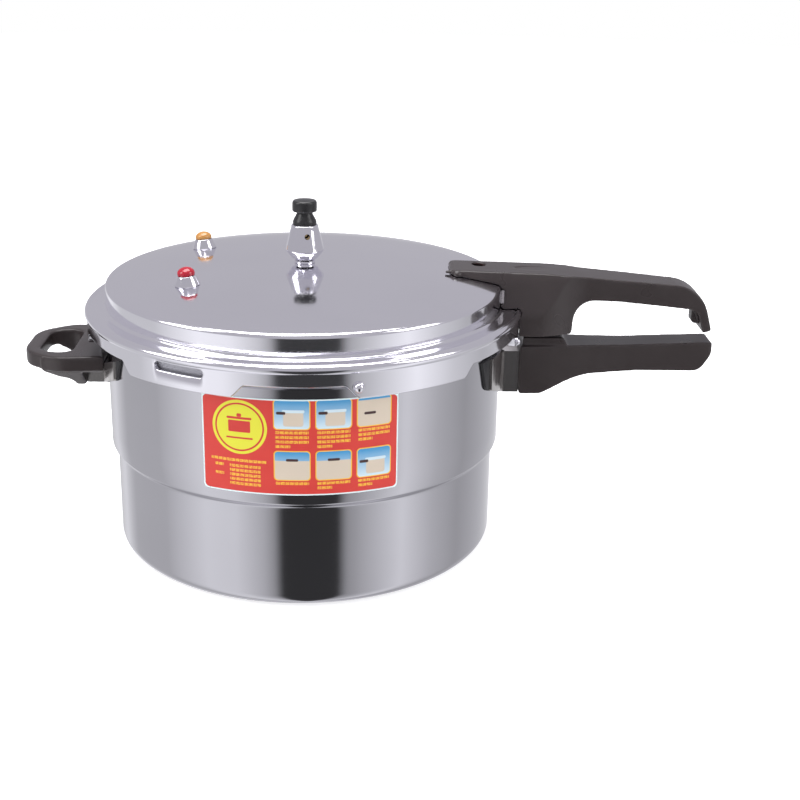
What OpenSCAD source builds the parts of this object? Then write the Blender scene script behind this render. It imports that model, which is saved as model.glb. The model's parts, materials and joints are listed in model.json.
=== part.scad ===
// Pressure canner: a deep aluminium pot with a bayonet lid, a steam rack,
// a regulator weight, two relief valves, a float pin and bakelite handles.
// Millimetres. Z is the pot's axis, z = 0 the face it stands on, +X the long handles.

/* [Pot] */
// Outer radius of the upper wall
pot_r = 142.5; // [142:0.5:143]
// Outer radius of the lower wall
pot_low_r = 138.6; // [138:0.1:139.5]
// Height at which the lower wall starts to widen
step_z = 73.5; // [60:0.5:80]
// Height of the widening
step_h = 5.3; // [4:0.1:7]
// Height of the mouth
mouth_z = 163.6; // [162:0.1:164]
// Wall thickness
wall = 2.5; // [2:0.1:3]
// Base thickness
base_t = 4; // [3:0.5:6]
// Radius of the base's outer corner
base_corner = 9; // [6:0.5:12]
// Thickness of the mouth's lugs
pot_lug_t = 3.6; // [3:0.1:4]
// Width of each lug on the pot, in degrees
pot_lug_deg = 26; // [20:1:27]

/* [Lid] */
// Radius of the lid's raised wall
raise_r = 142; // [141:0.5:142]
// Height of the raised wall's top corner
raise_z = 194; // [190:0.5:200]
// Rise of the dome from that corner to the centre
dome_h = 11; // [8:0.5:14]
// Height of the flange's flat top
flange_z = 178; // [177.5:0.1:178.5]
// Widest radius, at the bead
bead_r = 157; // [156.5:0.1:157.5]
// Outer radius of the skirt
skirt_r = 155.7; // [155.5:0.1:156]
// Height of the skirt's lower edge
skirt_z = 155.6; // [155:0.1:156]
// Sheet thickness of the lid
sheet = 2.6; // [2.4:0.1:2.8]
// Inner radius of the lid's lugs
lid_lug_r = 147; // [146.5:0.1:148]
// Width of each notch between the lugs, in degrees
notch_deg = 30; // [28:1:31]
// Height of the notches
notch_h = 8.4; // [6:0.1:9]
// Direction of the gasket's relief slot, in degrees
slot_deg = -119; // [-121:1:-117]
// Length of that slot
slot_l = 38; // [20:1:40]
// Height of that slot
slot_h = 6; // [4:0.5:7]

/* [Relief valves] */
// Distance of each valve from the axis
valve_r = 94; // [80:1:100]
// Angle of each valve from the -X direction
valve_deg = 34; // [25:1:40]
// Base radius of the valve's nut
valve_nut_r = 8.85; // [8.5:0.05:10]
// Height of the valve's nut
valve_nut_h = 7; // [7:0.5:8]

/* [Float pin] */
// Distance of the float pin from the axis
float_r = 125; // [122:1:126]
// Direction of the float pin, in degrees
float_deg = 2.75; // [2:0.25:3.5]

/* [Weight] */
// Height of the weight's lower edge
weight_z = 208.5; // [208:0.1:209]
// Widest radius of the weight
weight_r = 13.8; // [12:0.1:15]
// Radius of the weight's top
weight_top_r = 9; // [8.5:0.1:10]
// Radius of the knob's top disc
knob_r = 8.8; // [8.5:0.1:10]

/* [Upper handle] */
// Distance of the grip's tip from the axis
upper_tip_x = 296; // [290:1:300]
// Half width of the handle's lower edge at the lid
root_half_w = 25; // [23:0.5:27]

/* [Lower handle] */
// Distance of the lower handle's end from the axis
lower_end_x = 297.7; // [292:0.1:300]

/* [Helper handle] */
// Distance of the loop's outer end from the axis
helper_end_x = 201; // [197:1:205]
// Half width of the loop
helper_half_w = 42; // [38:1:44]

/* [Rack] */
// Radius of the rack
rack_r = 137.6; // [137:0.1:137.6]
// Thickness of the rack
rack_t = 1.5; // [1:0.1:2]

/* [Label] */
// Direction of the label's middle, in degrees
label_deg = -89; // [-95:1:-85]
// Angle that the label covers
label_span = 53; // [40:1:60]
// Height of the label's lower edge
label_z = 85; // [82:1:95]
// Height of the label
label_h = 66.5; // [50:0.5:68]

/* [Hidden] */
$fn = 96;

lug_count = 6;
lug_step = 360 / lug_count;
pot_in_r = pot_r - wall;
pot_low_in_r = pot_low_r - wall;
rim_r = pot_r + 3;
pot_lug_r = pot_r + 9;
raise_corner = 3.2;
raise_fillet = 2.5;
bead_corner = 3.3;
bead_z = 175.1;
slot_z = 168.5;
skirt_in_r = skirt_r - sheet;
lid_lug_t = 3.2;
fit = 0.15;
pad_in_r = pot_r + 0.1;
ear_in_r = pad_in_r + 1.9;
ear_t = 1.6;
plate_r = ear_in_r + ear_t;
red_deg = -180 + valve_deg;
orange_deg = 180 - valve_deg;
vent_pipe_r = 4.65;
stops = [[-75, 163, 3.6], [-14.5, 158.9, 2.7]];   // direction, height and radius of each stop rivet

// Points of an arc about (cx, cy), from angle a to angle b
function arc(cx, cy, r, a, b, n = 8) =
    [for (i = [0:n]) let (t = a + (b - a) * i / n) [cx + r * cos(t), cy + r * sin(t)]];

// An outline whose corners [x, y, radius] are rounded
function rounded(p, n = 6) = [for (i = [0:len(p) - 1])
    let (a = p[(i + len(p) - 1) % len(p)], b = p[i], c = p[(i + 1) % len(p)],
        u = [a.x - b.x, a.y - b.y] / norm([a.x - b.x, a.y - b.y]),
        v = [c.x - b.x, c.y - b.y] / norm([c.x - b.x, c.y - b.y]),
        half = acos(max(-1, min(1, u * v))) / 2,
        cut = b.z / tan(half), m = (u + v) / norm(u + v),
        mid = [b.x, b.y] + m * b.z / sin(half),
        s = [b.x, b.y] + u * cut - mid, e = [b.x, b.y] + v * cut - mid,
        a0 = atan2(s.y, s.x), d = atan2(e.y, e.x) - a0,
        turn = d > 180 ? d - 360 : d < -180 ? d + 360 : d)
    for (k = [0:b.z > 0 ? n : 0]) let (t = a0 + turn * k / n)
        b.z > 0 ? mid + b.z * [cos(t), sin(t)] : [b.x, b.y]];

// Height of the lid's top at a distance r from the axis: flat in the middle, steeper outwards
function dome_z(r) = raise_z + dome_h * (1 - pow(r / raise_r, 3));
// Slope of the dome there, in degrees
function dome_tilt(r) = atan(3 * dome_h * pow(r, 2) / pow(raise_r, 3));
// Smooth step from 0 to 1
function ease(t) = t * t * (3 - 2 * t);

// A ring sector about Z: outer and inner radius, heights and angles
module sector(r0, r1, z0, z1, from_deg, span_deg) {
    rotate([0, 0, from_deg])
        rotate_extrude(angle = span_deg)
            translate([r0, z0])
                square([r1 - r0, z1 - z0]);
}

// Extrudes an outline drawn in X and Z to a width along Y
module side_extrude(width) {
    translate([0, width / 2, 0])
        rotate([90, 0, 0])
            linear_extrude(width)
                children();
}

// Stands a child on the dome at a distance r and direction deg, square to the sheet
module on_dome(r, deg) {
    rotate([0, 0, deg])
        translate([r, 0, dome_z(r)])
            rotate([0, dome_tilt(r), 0])
                children();
}

// A cylinder that lies along the radius, from r0 to r1, at an angle and a height
module radial(r0, r1, rad, deg, z, rad2 = undef) {
    rotate([0, 0, deg])
        translate([r0, 0, z])
            rotate([0, 90, 0])
                cylinder(h = r1 - r0, r1 = rad, r2 = is_undef(rad2) ? rad : rad2);
}

// ---- Pot ----

// Radius step of the wall: low radius below, high radius above
function wall_step(r0, r1, z0) =
    [for (i = [0:8]) let (t = i / 8) [r0 + (r1 - r0) * ease(t), z0 + step_h * t]];

module pot_body() {
    outer = concat([[0, 0]],
        arc(pot_low_r - base_corner, base_corner, base_corner, -90, 0),
        wall_step(pot_low_r, pot_r, step_z));
    in_corner = base_corner - wall;
    inner = concat([[0, base_t]],
        arc(pot_low_in_r - in_corner, base_t + in_corner, in_corner, -90, 0),
        wall_step(pot_low_in_r, pot_in_r, step_z + 0.5));
    rim_z = mouth_z - pot_lug_t;
    color("silver") difference() {
        union() {
            rotate_extrude()
                polygon(concat(outer, [[pot_r, rim_z - 1.5], [rim_r, rim_z], [rim_r, mouth_z],
                    [pot_in_r, mouth_z]], [for (i = [len(inner) - 1:-1:0]) inner[i]]));
            for (i = [0:lug_count - 1])
                sector(pot_r - 1, pot_lug_r, rim_z, mouth_z,
                    i * lug_step - pot_lug_deg / 2, pot_lug_deg);
        }
        for (z = lower_rivet_z) radial(pot_in_r - 5, pot_r + 5, 2.5, 0, z);
        for (a = helper_rivet_deg) radial(pot_in_r - 5, pot_r + 5, 2.5, a, helper_rivet_z);
    }
}

module label() {
    color("crimson")
        sector(pot_r + 0.05, pot_r + 0.3, label_z, label_z + label_h,
            label_deg - label_span / 2, label_span);
}

// ---- Brackets that carry the pot's handles ----

lower_box = [13, 112, 143.5, 156.4];   // half width, lower and upper height, outer end
lower_ear = [61.6, 153];   // half width of the ear, height of its top
lower_pad = [72.6, 153.6];
lower_rivet_z = [120, 136];
helper_box = [15, 117.5, 130.7, 158];
helper_ear = [69.4, 151];
helper_pad = [75.2, 153.6];
helper_rivet_deg = [176.5, 183.5];
helper_rivet_z = 124.1;
ear_rise = 0.37;   // rise of an ear's edges per millimetre away from its box
box_t = 1.6;
tongue_x = 149.5;
screw_r = 2;
bracket_screw_x = 153.5;

// Sheet bent to a radius, outline given by its right half seen from the front
module bent_sheet(r0, r1, half) {
    last = len(half) - 1;
    intersection() {
        sector(r0, r1, 100, 160, -45, 90);
        translate([100, 0, 0])
            rotate([90, 0, 90])
                linear_extrude(60)
                    polygon(rounded(concat(half,
                        [for (i = [last:-1:0]) [-half[i].x, half[i].y, half[i].z]])));
    }
}

// Front view of an ear or pad: edges rise from the box, the lower outer corner is rounded
function wing(box, size, corner) = let (w = size[0], top = size[1], run = w - box[0],
        top_run = min(run - 1, (top - box[2]) / ear_rise))
    [[box[0], box[1], 0], [w - corner[0], box[1] + ear_rise * (run - corner[0]), corner[1]],
        [w, top, 0], [box[0] + top_run, top, 0], [box[0], box[2], 0]];

module bracket(box, ear) {
    difference() {
        union() {
            bent_sheet(ear_in_r, plate_r, wing(box, ear, [0.5, 2]));
            difference() {
                translate([ear_in_r - 6, -box[0], box[1]])
                    cube([box[3] - ear_in_r + 6, 2 * box[0], box[2] - box[1]]);
                translate([0, 0, box[1] - 1]) cylinder(h = box[2] - box[1] + 2, r = ear_in_r);
            }
        }
        difference() {
            translate([plate_r - 8, -box[0] + box_t, box[1] + box_t])
                cube([box[3] - plate_r + 9, 2 * (box[0] - box_t), box[2] - box[1] - 2 * box_t]);
            translate([0, 0, box[1] - 1]) cylinder(h = box[2] - box[1] + 2, r = plate_r);
        }
        translate([bracket_screw_x, 0, box[1] - 1]) cylinder(h = box_t + 2, r = screw_r + 0.05);
    }
}

module pad(box, size) {
    bent_sheet(pad_in_r, ear_in_r - 0.1, wing(box, size, [7, 9]));
}

// One rivet through pad, ear and wall, with a domed head at each end
module wall_rivet(deg, z) {
    radial(pot_in_r - 0.1, plate_r + 0.1, 2.4, deg, z);
    radial(plate_r + 0.05, plate_r + 2.2, 4.2, deg, z, 2.6);
    radial(pot_in_r - 2, pot_in_r - 0.05, 2.6, deg, z, 4.2);
}

module bracket_screw(box) {
    translate([bracket_screw_x, 0, box[1] - 2.6]) {
        cylinder(h = 2.5, r1 = 3, r2 = 3.9);
        cylinder(h = 13, r = screw_r);
    }
}

module tongue(box) {
    gap = box_t + fit;
    translate([tongue_x, -box[0] + gap, box[1] + gap])
        cube([box[3] + 2 - tongue_x, 2 * (box[0] - gap), box[2] - box[1] - 2 * gap]);
}

module tongue_hole(box) {
    translate([bracket_screw_x, 0, box[1]]) cylinder(h = 12.5, r = screw_r + 0.05);
}

module lower_rivet_holes() { for (z = lower_rivet_z) radial(pot_r - 3, plate_r + 1, 2.5, 0, z); }
module helper_rivet_holes() {
    for (a = helper_rivet_deg) radial(pot_r - 3, plate_r + 1, 2.5, a, helper_rivet_z);
}

module lower_handle_bracket() {
    color("gainsboro") difference() {
        bracket(lower_box, lower_ear);
        lower_rivet_holes();
    }
}
module lower_handle_pad() {
    color("dimgray") difference() {
        pad(lower_box, lower_pad);
        lower_rivet_holes();
    }
}
module lower_handle_rivets() { color("silver") for (z = lower_rivet_z) wall_rivet(0, z); }
module lower_handle_screw() { color("silver") bracket_screw(lower_box); }
module helper_handle_bracket() {
    color("gainsboro") difference() {
        rotate([0, 0, 180]) bracket(helper_box, helper_ear);
        helper_rivet_holes();
    }
}
module helper_handle_pad() {
    color("dimgray") difference() {
        rotate([0, 0, 180]) pad(helper_box, helper_pad);
        helper_rivet_holes();
    }
}
module helper_handle_rivets() {
    color("silver") for (a = helper_rivet_deg) wall_rivet(a, helper_rivet_z);
}
module helper_handle_screw() { color("silver") rotate([0, 0, 180]) bracket_screw(helper_box); }

// ---- Lower handle: side outline, narrowed in plan, with a tongue in its bracket ----

module lower_handle() {
    root_x = lower_box[3] + 0.2;
    end_x = lower_end_x;
    side = rounded([[root_x, 148.3, 1], [233, 148.6, 40], [264, 149.8, 60], [end_x, 151, 1.5],
        [end_x, 142, 9], [289.5, 129, 10], [243, 129, 60], [200, 126, 60],
        [172.5, 111.8, 9], [root_x, 112, 1.5]]);
    plan = rounded([[root_x - 1, -17, 0], [178, -16.5, 40], [208, -13.2, 30], [236, -12, 30],
        [end_x + 1, -12, 3], [end_x + 1, 12, 3], [236, 12, 30], [208, 13.2, 30],
        [178, 16.5, 40], [root_x - 1, 17, 0]]);
    ledge = rounded([[root_x + 2, 145, 0], [root_x + 2, 154.6, 1], [188, 154.6, 3], [193, 145, 0]]);
    color("#2b2626") difference() {
        union() {
            intersection() {
                side_extrude(60) polygon(side);
                translate([0, 0, 100]) linear_extrude(60) polygon(plan);
            }
            side_extrude(30) polygon(ledge);
            tongue(lower_box);
        }
        tongue_hole(lower_box);
    }
}

// ---- Helper handle: a loop that stands out from a root in its bracket ----

module helper_handle() {
    end_x = helper_end_x;
    w = helper_half_w;
    loop_z = 133.5;
    loop_t = 11;
    top_z = loop_z + loop_t;
    root_x = helper_box[3] + 0.2;
    outer = rounded([[138, -w + 4, 0], [176, -w, 22], [end_x, -w + 18, 24], [end_x, w - 18, 24],
        [176, w, 22], [138, w - 4, 0]]);
    inner = rounded([[166, -w + 14, 9], [end_x - 11, -w + 17, 12], [end_x - 11, w - 17, 12],
        [166, w - 14, 9]]);
    // Side and front of the root, which flares up to the arms of the loop
    side = rounded([[138, top_z - 2, 0], [138, helper_box[2] + 0.3, 0],
        [root_x, helper_box[2] + 0.3, 0], [root_x, helper_box[1] - 1, 1],
        [166, helper_box[1] - 1, 7], [178, 127.5, 10], [186, 132.5, 4], [186, top_z - 2, 0]]);
    front = rounded([[-17, helper_box[1] - 2, 3], [17, helper_box[1] - 2, 3], [w - 5, loop_z, 8],
        [w - 5, top_z + 1, 0], [-w + 5, top_z + 1, 0], [-w + 5, loop_z, 8]]);
    color("#2b2626") rotate([0, 0, 180]) difference() {
        union() {
            difference() {
                union() {
                    translate([0, 0, loop_z]) linear_extrude(loop_t) polygon(outer);
                    intersection() {
                        side_extrude(2 * w) polygon(side);
                        translate([130, 0, 0]) rotate([90, 0, 90]) linear_extrude(70) polygon(front);
                    }
                }
                translate([0, 0, 100]) linear_extrude(60) polygon(inner);
                cylinder(h = 200, r = plate_r + 0.2);
            }
            tongue(helper_box);
        }
        tongue_hole(helper_box);
    }
}

// ---- Rack ----

rack_z = step_z + 3.6;
hole_rings = [[34, 6], [66, 12], [98, 18]];   // radius and number of holes
module steam_rack() {
    color("lightgray") difference() {
        translate([0, 0, rack_z]) {
            cylinder(h = rack_t, r = rack_r);
            rotate_extrude() translate([118, rack_t - 0.1]) circle(r = 1.6);
        }
        translate([0, 0, rack_z - 5]) {
            cylinder(h = 10, r = 9);
            for (ring = hole_rings, i = [1:ring[1]])
                rotate([0, 0, i * 360 / ring[1]]) translate([ring[0], 0, 0]) cylinder(h = 10, r = 5);
        }
        translate([0, 0, rack_z - 2.2]) cylinder(h = 2.2, r = 150);
    }
}

// ---- Lid ----

// Outer face of the lid from the centre to the skirt, grown by g
function lid_outer(g = 0) = concat(
    [for (i = [0:12]) let (r = (raise_r - raise_corner) * i / 12) [r, dome_z(r) + g]],
    arc(raise_r - raise_corner, raise_z - raise_corner + 0.65, raise_corner + g, 77, 0, 6),
    arc(raise_r + raise_fillet, flange_z + raise_fillet, raise_fillet - g, 180, 270, 6),
    [[bead_r - bead_corner - 1.4, flange_z + g], [bead_r - bead_corner - 0.9, flange_z - 0.3 + g]],
    arc(bead_r - bead_corner, bead_z, bead_corner + g, 90, -52, 8));

function lid_inner() = concat(
    [[skirt_in_r, 174.2], [skirt_in_r - 1.2, flange_z - sheet]],
    arc(raise_r + raise_fillet, flange_z + raise_fillet, raise_fillet + sheet, 270, 180, 6),
    arc(raise_r - raise_corner, raise_z - raise_corner + 0.65, raise_corner - sheet, 0, 77, 3),
    [for (i = [12:-1:0]) let (r = (raise_r - raise_corner) * i / 12) [r, dome_z(r) - sheet]]);

module notch_cut() {
    low = skirt_r * sin(notch_deg / 2);
    top = low - notch_h;
    translate([raise_r - 7, 0, 0])
        rotate([90, 0, 90])
            linear_extrude(30)
                polygon([[-low - 0.4, skirt_z - 0.4], [low + 0.4, skirt_z - 0.4],
                    [top, skirt_z + notch_h], [-top, skirt_z + notch_h]]);
}

module slot_cut() {
    rotate([0, 0, slot_deg])
        translate([skirt_in_r - 8, 0, slot_z])
            rotate([90, 0, 90])
                linear_extrude(16) {
                    square([slot_l - slot_h, slot_h], center = true);
                    for (s = [-1, 1]) translate([s * (slot_l - slot_h) / 2, 0]) circle(d = slot_h);
                }
}

module lid_shell() {
    color("silver") difference() {
        rotate_extrude()
            polygon(concat(lid_outer(),
                [[skirt_r, 170], [skirt_r, skirt_z + 1.2], [skirt_r - 1.2, skirt_z],
                    [lid_lug_r, skirt_z], [lid_lug_r, skirt_z + lid_lug_t],
                    [skirt_in_r, skirt_z + lid_lug_t]], lid_inner()));
        for (i = [0:lug_count - 1]) rotate([0, 0, (i + 0.5) * lug_step]) notch_cut();
        slot_cut();
        translate([0, 0, 180]) cylinder(h = 40, r = vent_thread_r + 0.1);
        for (a = [red_deg, orange_deg])
            on_dome(valve_r, a) translate([0, 0, -10]) cylinder(h = 20, r = 6.1);
        on_dome(float_r, float_deg) translate([0, 0, -10]) cylinder(h = 20, r = 5.1);
        for (a = lid_rivet_deg) radial(raise_r - 8, raise_r + 6, 2.3, a, lid_rivet_z);
        for (s = stops) radial(skirt_in_r - 1, skirt_r + 4, 2.05, s[0], s[1]);
    }
}

module lid_gasket() {
    lo = mouth_z + 0.3;
    hi = flange_z - sheet - 0.3;
    color("whitesmoke") rotate_extrude()
        polygon([[143.4, lo], [151.7, lo], [151.7, hi], [143.4, hi], [144.4, hi - 2.4],
            [148, hi - 3.6], [148, lo + 3.6], [144.4, lo + 2.4]]);
}

module lid_stop_rivets() {
    color("gainsboro") for (s = stops) let (deg = s[0], z = s[1], dome_r = s[2]) {
        radial(skirt_in_r - 0.8, skirt_r + 0.1, 2, deg, z);
        radial(skirt_r + 0.05, skirt_r + 1, dome_r + 0.5, deg, z);
        intersection() {
            rotate([0, 0, deg]) translate([skirt_r + 0.6, 0, z]) sphere(r = dome_r);
            radial(skirt_r + 0.5, skirt_r + 9, dome_r + 0.4, deg, z);
        }
    }
}

// ---- Vent pipe and its fastening ----

vent_thread_r = 3.9;
apex_z = raise_z + dome_h;
pipe_top_z = 223;
module vent_pipe() {
    color("gainsboro") difference() {
        union() {
            translate([0, 0, 186]) cylinder(h = 20, r = vent_thread_r);
            translate([0, 0, apex_z + 0.05]) cylinder(h = 2, r = 7.4);
            translate([0, 0, apex_z + 1]) cylinder(h = 10, r = vent_pipe_r);
            translate([0, 0, apex_z + 11]) cylinder(h = pipe_top_z - apex_z - 11, r1 = vent_pipe_r, r2 = 3);
        }
        translate([0, 0, 180]) cylinder(h = 50, r = 1.6);
    }
}

module vent_washer() {
    color("whitesmoke") translate([0, 0, apex_z - sheet - 1.8]) difference() {
        cylinder(h = 1.6, r = 9);
        translate([0, 0, -1]) cylinder(h = 4, r = vent_thread_r + 0.1);
    }
}

module vent_nut() {
    color("gainsboro") translate([0, 0, apex_z - sheet - 6.1]) difference() {
        cylinder(h = 4.2, r = 8.6, $fn = 6);
        translate([0, 0, -1]) cylinder(h = 7, r = vent_thread_r + 0.05);
    }
}

module vent_filter_cap() {
    top = apex_z - sheet - 6.3;
    color("gainsboro") difference() {
        translate([0, 0, top - 12]) cylinder(h = 12, r = 9.5);
        translate([0, 0, top - 10.8]) cylinder(h = 9, r = 8.3);
        translate([0, 0, top - 3]) cylinder(h = 5, r = vent_thread_r + 0.05);
        for (i = [0:5]) rotate([0, 0, i * 60]) translate([5, 0, top - 14]) cylinder(h = 5, r = 1.3);
        for (i = [0:7]) radial(5, 12, 1.4, i * 45, top - 6);
    }
}

// ---- Regulator weight ----

cavity_top = 227.5;
needle_stem_top = 229.8;
weight_top_z = 233;
module weight_needle() {
    color("goldenrod") {
        translate([0, 0, pipe_top_z - 2.4]) cylinder(h = 2.8, r1 = 0.5, r2 = 1.45);
        translate([0, 0, pipe_top_z + 0.3]) cylinder(h = cavity_top - pipe_top_z - 0.6, r = 4.6);
        translate([0, 0, cavity_top - 1]) cylinder(h = needle_stem_top - cavity_top + 1, r = 3);
    }
}

module pressure_weight() {
    side = concat([[6.4, weight_z]], arc(8.6, weight_z + 1.2, 1.2, -90, -40, 4),
        [[weight_r - 0.5, 213.6], [weight_r, 214.6], [weight_r, 215.8],
            [weight_top_r + 0.7, weight_top_z - 1.2], [weight_top_r, weight_top_z]]);
    color("gainsboro") difference() {
        rotate_extrude()
            polygon(concat(side, [[2.5, weight_top_z], [2.5, 230], [3.05, 230],
                [3.05, cavity_top], [6.4, cavity_top]]));
        radial(5, 16, 1.95, -78, 226);
        radial(5, 16, 1.95, 102, 226);
    }
}

module weight_knob() {
    lo = weight_top_z + 0.1;
    color("#2b2626") rotate_extrude()
        polygon(concat([[2.55, lo], [8.5, lo], [8.5, lo + 1.2]],
            [for (i = [1:6]) let (t = i / 6) [8.5 - 3.05 * ease(t), lo + 1.2 + 7.7 * t]],
            arc(knob_r - 1.2, 243.4, 1.2, -60, 0, 4), arc(knob_r - 2.2, 248.3, 2.2, 0, 90, 6),
            [[0, 250.9], [0, 241.1], [2.55, 241.1]]));
}

module knob_stud() {
    color("silver") translate([0, 0, 230.2]) cylinder(h = 10.8, r = 2.45);
}

// ---- Float pin ----

module float_grommet() {
    color("#c8c8c8") on_dome(float_r, float_deg) difference() {
        union() {
            translate([0, 0, -sheet - 1.6]) cylinder(h = 1.5, r = 7);
            translate([0, 0, -sheet - 0.5]) cylinder(h = sheet + 1, r = 5);
            translate([0, 0, 0.1]) cylinder(h = 1.3, r = 7);
        }
        translate([0, 0, -8]) cylinder(h = 12, r = 2.7);
    }
}

module float_pin() {
    color("firebrick") on_dome(float_r, float_deg) {
        translate([0, 0, -8.8]) cylinder(h = 11, r = 2.62);
        translate([0, 0, 1.8]) cylinder(h = 1.8, r = 3.7);
        translate([0, 0, -10.3]) cylinder(h = 1.7, r = 6.4);
    }
}

// ---- Relief valves: parts in the frame of the valve, z = 0 on the sheet ----

module valve_housing(deg) {
    color("goldenrod") on_dome(valve_r, deg) difference() {
        union() {
            translate([0, 0, -7]) cylinder(h = 12.2, r = 5.95);
            translate([0, 0, -7.6]) cylinder(h = 3.1, r = 9.8, $fn = 6);
        }
        translate([0, 0, -9]) cylinder(h = 9, r = 2.2);
        translate([0, 0, -1]) cylinder(h = 8, r = 4.4);
    }
}

module valve_nut(deg) {
    color("gainsboro") on_dome(valve_r, deg) difference() {
        translate([0, 0, 0.05]) cylinder(h = valve_nut_h, r1 = valve_nut_r, r2 = 6.1);
        translate([0, 0, -1]) cylinder(h = 6.4, r = 6);
        translate([0, 0, -1]) cylinder(h = 12, r = 2.58);
    }
}

module valve_seal(deg) {
    color("whitesmoke") on_dome(valve_r, deg) difference() {
        translate([0, 0, -4.4]) cylinder(h = 1.7, r = 8.6);
        translate([0, 0, -6]) cylinder(h = 6, r = 6.05);
    }
}

module relief_plug(deg) {
    on_dome(valve_r, deg) {
        translate([0, 0, -0.7]) cylinder(h = 1.6, r = 4.3);
        translate([0, 0, 0]) cylinder(h = valve_nut_h + 1, r = 2.5);
        rotate_extrude()
            polygon(concat([[0, valve_nut_h + 0.35], [6, valve_nut_h + 0.35],
                [6, valve_nut_h + 1.4]],
                [for (i = [1:8]) let (t = 90 * i / 8) [6 * cos(t), valve_nut_h + 1.4 + 4.1 * sin(t)]]));
    }
}

// A coil: rings of an eight-sided wire along a helix
module coil(coil_r, wire_r, z0, z1, turns) {
    sides = 8;
    per_turn = 14;
    rings = turns * per_turn;
    points = [for (i = [0:rings], k = [0:sides - 1])
        let (a = i * 360 / per_turn, t = k * 360 / sides, r = coil_r + wire_r * cos(t))
            [r * cos(a), r * sin(a), z0 + (z1 - z0) * i / rings + wire_r * sin(t)]];
    walls = [for (i = [0:rings - 1], k = [0:sides - 1])
        let (a = i * sides + k, b = i * sides + (k + 1) % sides)
            [a, a + sides, b + sides, b]];
    ends = [[for (k = [0:sides - 1]) k], [for (k = [sides - 1:-1:0]) rings * sides + k]];
    polyhedron(points, concat(walls, ends));
}

module valve_spring(deg) {
    color("lightgray") on_dome(valve_r, deg) coil(3.45, 0.35, 1.35, 4.95, 3);
}

module red_valve_housing() { valve_housing(red_deg); }
module red_valve_nut() { valve_nut(red_deg); }
module red_valve_seal() { valve_seal(red_deg); }
module red_valve_spring() { valve_spring(red_deg); }
module red_relief_plug() { color("#c01828") relief_plug(red_deg); }
module orange_valve_housing() { valve_housing(orange_deg); }
module orange_valve_nut() { valve_nut(orange_deg); }
module orange_valve_seal() { valve_seal(orange_deg); }
module orange_valve_spring() { valve_spring(orange_deg); }
module orange_relief_plug() { color("#d08a30") relief_plug(orange_deg); }

// ---- Upper handle and its bracket on the lid's raised wall ----

lid_rivet_deg = [-4.5, 4.5];
lid_rivet_z = 187;
tab_r = raise_r + 0.2;
tab_t = 2;
tab_deg = 8;
arm = [184, 12, 181.3, 183.5];   // outer end, half width, lower and upper height
handle_screw_x = 173;
block_z = 158;

module lid_bracket() {
    color("gainsboro") difference() {
        union() {
            sector(tab_r, tab_r + tab_t, arm[2], 191, -tab_deg, 2 * tab_deg);
            difference() {
                translate([tab_r - 4, -arm[1], arm[2]])
                    cube([arm[0] - tab_r + 4, 2 * arm[1], arm[3] - arm[2]]);
                translate([0, 0, arm[2] - 1]) cylinder(h = 6, r = tab_r);
            }
        }
        for (a = lid_rivet_deg) radial(tab_r - 3, tab_r + 5, 2.3, a, lid_rivet_z);
        translate([handle_screw_x, 0, arm[2] - 1]) cylinder(h = 5, r = 2.45);
    }
}

module lid_bracket_rivets() {
    in_r = raise_r - sheet;
    color("silver") for (a = lid_rivet_deg) {
        radial(in_r - 0.1, tab_r + tab_t + 0.1, 2.2, a, lid_rivet_z);
        radial(in_r - 1.9, in_r - 0.1, 2.2, a, lid_rivet_z, 3.6);
        radial(tab_r + tab_t + 0.1, tab_r + tab_t + 1.9, 3.6, a, lid_rivet_z, 2.2);
    }
}

module upper_handle_screw() {
    color("silver") translate([handle_screw_x, 0, 167]) {
        cylinder(h = 3, r = 4.2);
        cylinder(h = 20, r = 2.4);
    }
}

module upper_handle_outline() {
    tip_x = upper_tip_x;
    polygon(rounded([[104, 196, 2], [104, 204.2, 3], [176, 202.2, 90], [tip_x - 9, 192.2, 27],
        [tip_x, 160, 1.2], [tip_x - 6.2, 158, 1], [tip_x - 11.3, 175.3, 9], [228, 181.7, 60],
        [194.8, 183, 15], [193, block_z, 2], [150, block_z, 0], [120, 172, 0]]));
}

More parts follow.
